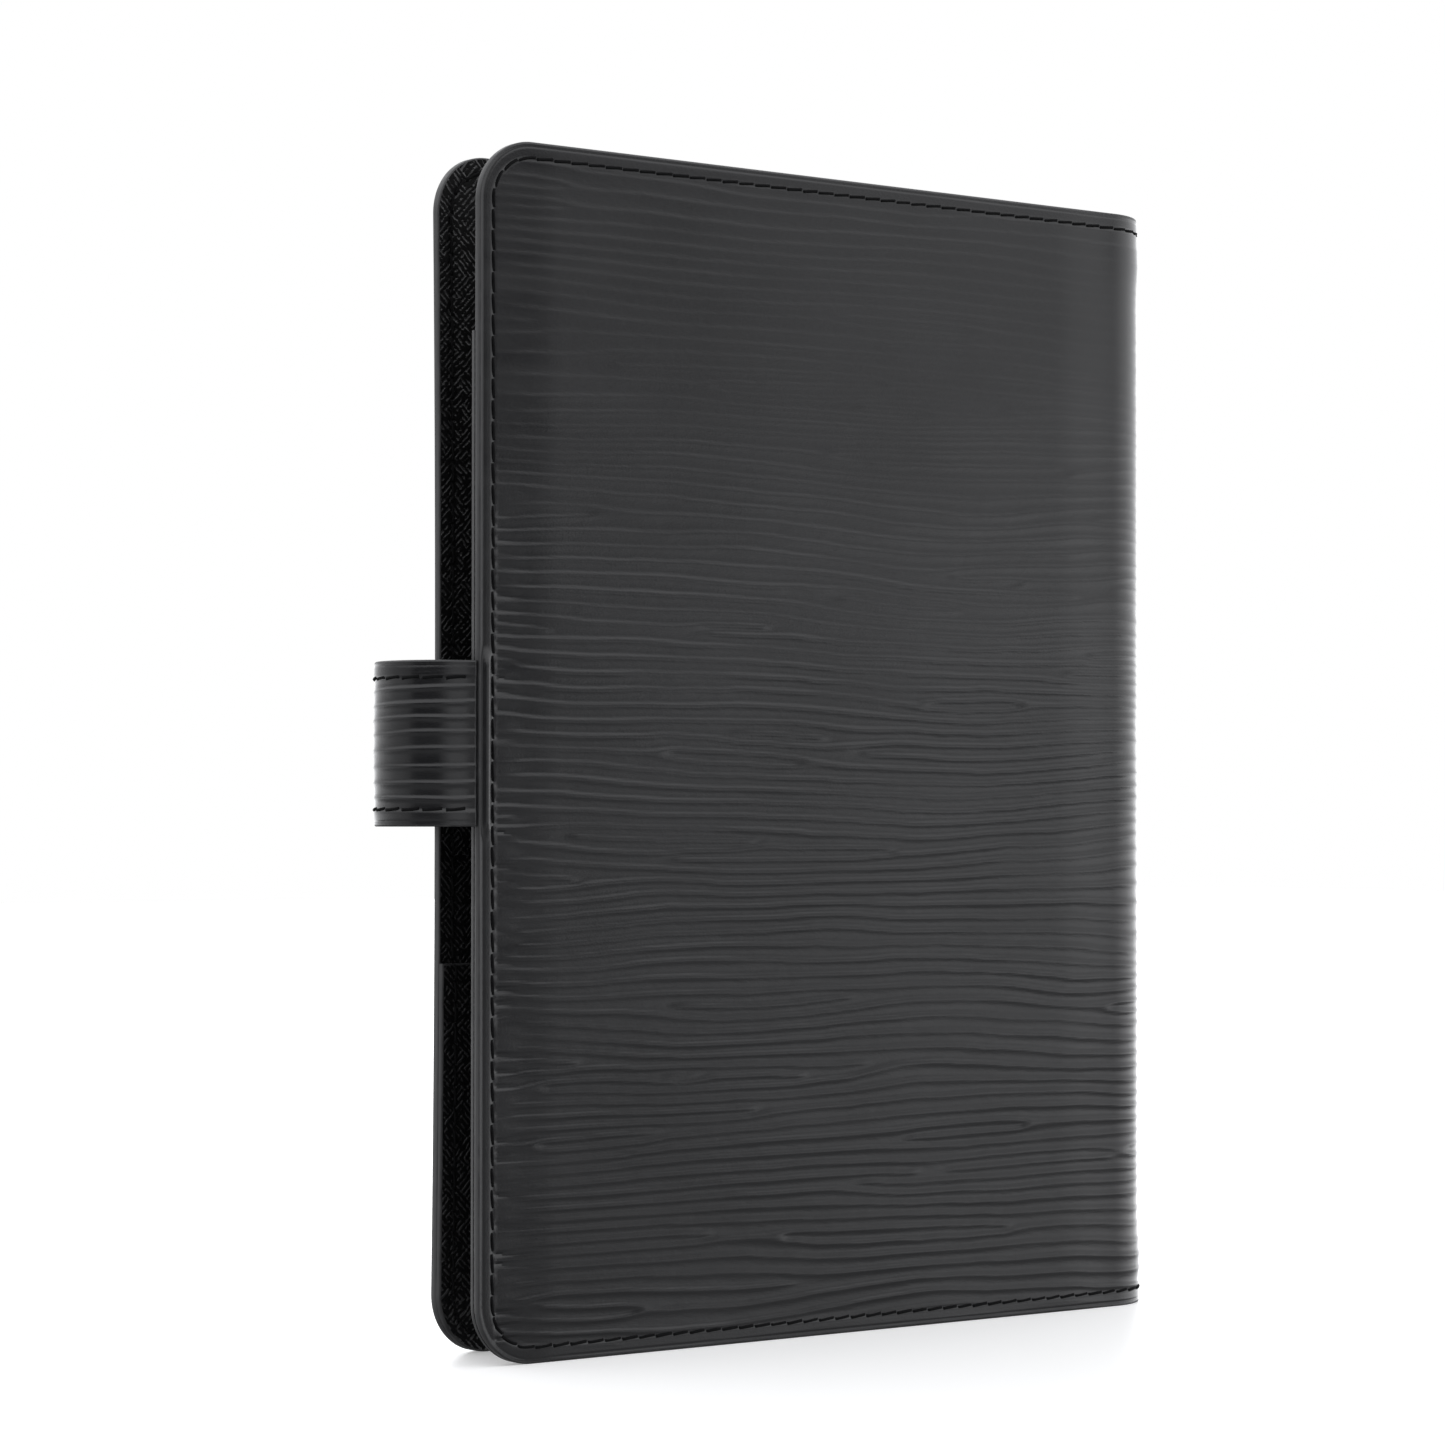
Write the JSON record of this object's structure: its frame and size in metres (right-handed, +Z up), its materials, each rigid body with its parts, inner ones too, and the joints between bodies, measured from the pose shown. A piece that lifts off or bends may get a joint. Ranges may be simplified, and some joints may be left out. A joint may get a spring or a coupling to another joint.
{
  "type": "leather notebook cover",
  "caption": "Black leather ring notebook cover with rounded spine, snap strap round the fore-edge, inner pockets and a ring mechanism.",
  "frame": {"origin": "centre of the bounding box's lower face, on the surface the cover stands on", "axes": "+Z up along the spine, +X from the fore-edge to the spine, -Y out of the back cover"},
  "size_m": [0.15, 0.0254, 0.185],
  "materials": {
    "outside_leather": "black water-ripple grain, satin",
    "lining_leather": "black cross-grain, satin",
    "thread": "black waxed thread",
    "board": "grey-brown pressed fibre board",
    "snap_metal": "polished",
    "ring_metal": "polished"
  },
  "bodies": {
    "back_cover": {"back_cover_leather": "outside_leather", "back_cover_board": "board", "back_cover_lining": "lining_leather", "back_cover_thread": "thread", "back_pocket": "lining_leather", "strap_root_leather": "outside_leather", "strap_root_lining": "lining_leather", "strap_root_thread": "thread"},
    "spine": {"spine_leather": "outside_leather", "spine_board": "board", "spine_lining": "lining_leather", "spine_thread": "thread", "ring_arch_plate": "ring_metal", "ring_rivets": "ring_metal"},
    "ring_half_back": {"ring_blade_back": "ring_metal", "ring_halves_back": "ring_metal"},
    "ring_half_front": {"ring_blade_front": "ring_metal", "ring_halves_front": "ring_metal"},
    "front_cover": {"front_cover_leather": "outside_leather", "front_cover_board": "board", "front_cover_lining": "lining_leather", "front_cover_thread": "thread", "front_pocket": "lining_leather", "card_slot_top": "lining_leather", "card_slot_middle": "lining_leather", "card_slot_lower": "lining_leather", "snap_stud": "snap_metal", "snap_stud_rivet": "snap_metal"},
    "strap_side": {"strap_side_leather": "outside_leather", "strap_side_lining": "lining_leather", "strap_side_thread": "thread"},
    "strap_tip": {"strap_tip_leather": "outside_leather", "strap_tip_lining": "lining_leather", "strap_tip_thread": "thread", "snap_cap": "snap_metal", "snap_socket": "snap_metal"}
  },
  "joints": [
    {"name": "spine_back_fold", "type": "hinge", "parent": "back_cover", "child": "spine", "pos_m": [0.07175, -0.00953, 0], "axis": [0, 0, -1], "range_deg": [0, 90]},
    {"name": "spine_front_fold", "type": "hinge", "parent": "spine", "child": "front_cover", "pos_m": [0.07149, 0.00979, 0], "axis": [0, 0, -1], "range_deg": [0, 93.88]},
    {"name": "strap_root_fold", "type": "hinge", "parent": "back_cover", "child": "strap_side", "pos_m": [-0.07191, -0.00919, 0.0935], "axis": [0, 0, 1], "range_deg": [0, 88.07]},
    {"name": "strap_flap_fold", "type": "hinge", "parent": "strap_side", "child": "strap_tip", "pos_m": [-0.07191, 0.00559, 0.0935], "axis": [0, 0, 1], "range_deg": [0, 88.07]},
    {"name": "ring_front_pivot", "type": "hinge", "parent": "spine", "child": "ring_half_front", "pos_m": [0.07137, 0.0055, 0.0925], "axis": [0, 0, -1], "range_deg": [0, 15]},
    {"name": "ring_back_pivot", "type": "hinge", "parent": "spine", "child": "ring_half_back", "pos_m": [0.07137, -0.0055, 0.0925], "axis": [0, 0, 1], "range_deg": [0, 15]}
  ],
  "couplings": [
    {"joint": "spine_front_fold", "follows": "spine_back_fold", "ratio": 1.0428},
    {"joint": "strap_flap_fold", "follows": "strap_root_fold", "ratio": 1},
    {"joint": "ring_back_pivot", "follows": "ring_front_pivot", "ratio": 1}
  ]
}
